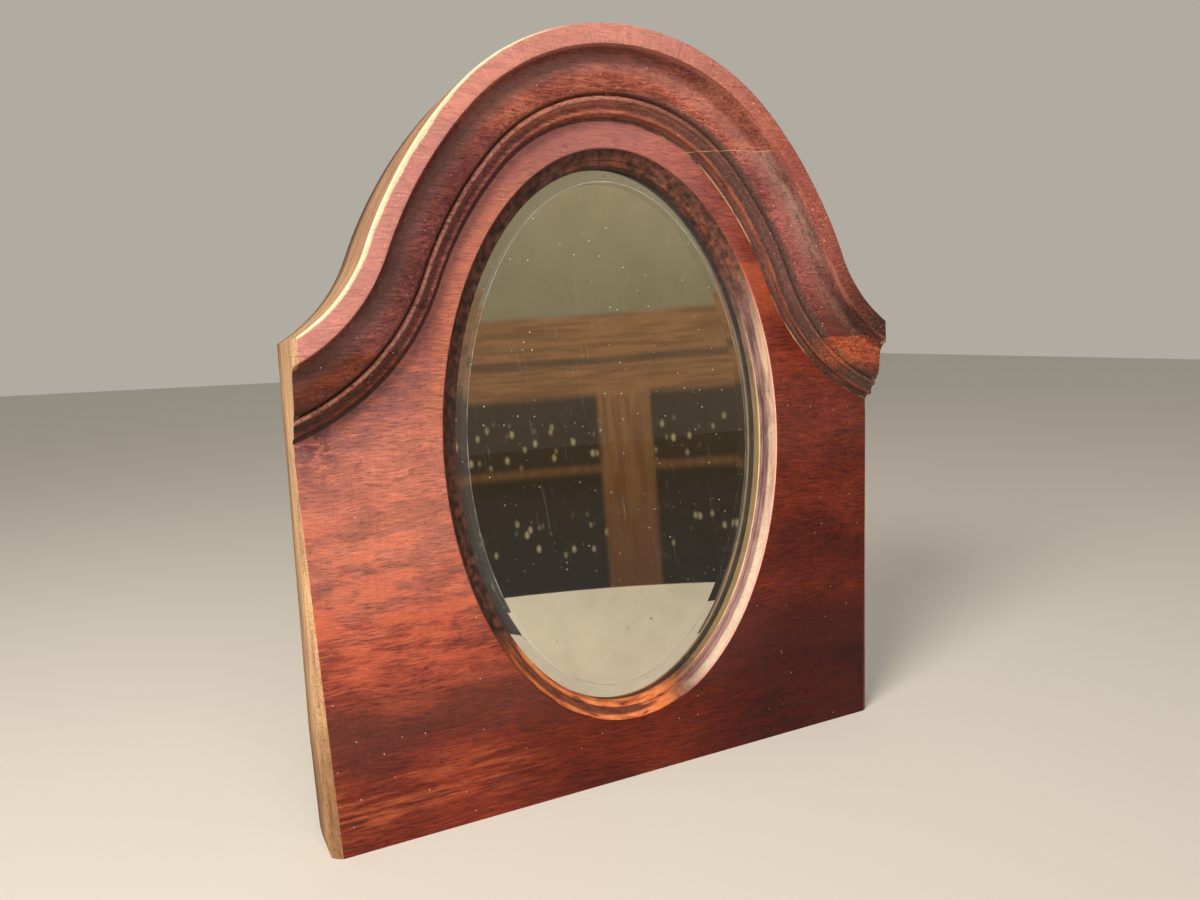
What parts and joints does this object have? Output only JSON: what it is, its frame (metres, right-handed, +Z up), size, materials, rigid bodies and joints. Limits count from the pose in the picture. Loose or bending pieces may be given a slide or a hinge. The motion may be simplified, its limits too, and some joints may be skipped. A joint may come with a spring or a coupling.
{
  "type": "table mirror",
  "caption": "Arched wooden table mirror with an oval bevelled glass, an applied moulding over the arch, turn buttons behind and a folding easel strut.",
  "frame": {"origin": "middle of the board's flat foot, on the surface the mirror stands on", "axes": "+X to the right as one faces the glass, -Y out of the front towards the user, +Z up; the board leans back 3 degrees towards +Y"},
  "size_m": [0.305, 0.1039, 0.3535],
  "materials": {
    "mahogany_board": "stained red-brown mahogany with horizontal figure, satin, worn raw at the side arrises",
    "mahogany_moulding": "stained red-brown mahogany, satin, pinkish on the rim and dark in the hollows",
    "mahogany_strut": "stained mahogany, dull",
    "bevelled_glass": "clear, bevelled edge",
    "silvering": "silvered, a little tarnished",
    "strawboard": "matte packing board",
    "softwood": "raw pine",
    "plywood": "raw plywood, darkened with age",
    "brass": "aged, dull"
  },
  "bodies": {
    "mirror": {"base_board": "mahogany_board", "crown_board": "mahogany_board", "left_foot_moulding": "mahogany_moulding", "left_flank_moulding": "mahogany_moulding", "crest_moulding": "mahogany_moulding", "right_flank_moulding": "mahogany_moulding", "right_foot_moulding": "mahogany_moulding", "mirror_glass": "bevelled_glass", "mirror_silvering": "silvering", "packing_card": "strawboard", "glass_wedges": "softwood", "back_panel": "plywood", "turn_button_screws": "brass", "strut_bracket": "brass", "bracket_screws": "brass", "pivot_pin": "brass", "pivot_washers": "brass"},
    "strut": {"easel_strut": "mahogany_strut"},
    "button_1": {"turn_button_1": "brass"},
    "button_2": {"turn_button_2": "brass"},
    "button_3": {"turn_button_3": "brass"},
    "button_4": {"turn_button_4": "brass"}
  },
  "joints": [
    {"name": "strut_fold", "type": "hinge", "parent": "mirror", "child": "strut", "pos_m": [0, 0.03545, 0.32321], "axis": [-1, 0, 0], "range_deg": [0, 11]},
    {"name": "button_1_turn", "type": "hinge", "parent": "mirror", "child": "button_1", "pos_m": [0.08868, 0.02355, 0.23947], "axis": [0, 0.9986, -0.0523], "continuous": true},
    {"name": "button_2_turn", "type": "hinge", "parent": "mirror", "child": "button_2", "pos_m": [0.08868, 0.01573, 0.09018], "axis": [0, 0.9986, -0.0523], "continuous": true},
    {"name": "button_3_turn", "type": "hinge", "parent": "mirror", "child": "button_3", "pos_m": [-0.08868, 0.02355, 0.23947], "axis": [0, 0.9986, -0.0523], "continuous": true},
    {"name": "button_4_turn", "type": "hinge", "parent": "mirror", "child": "button_4", "pos_m": [-0.08868, 0.01573, 0.09018], "axis": [0, 0.9986, -0.0523], "continuous": true}
  ]
}
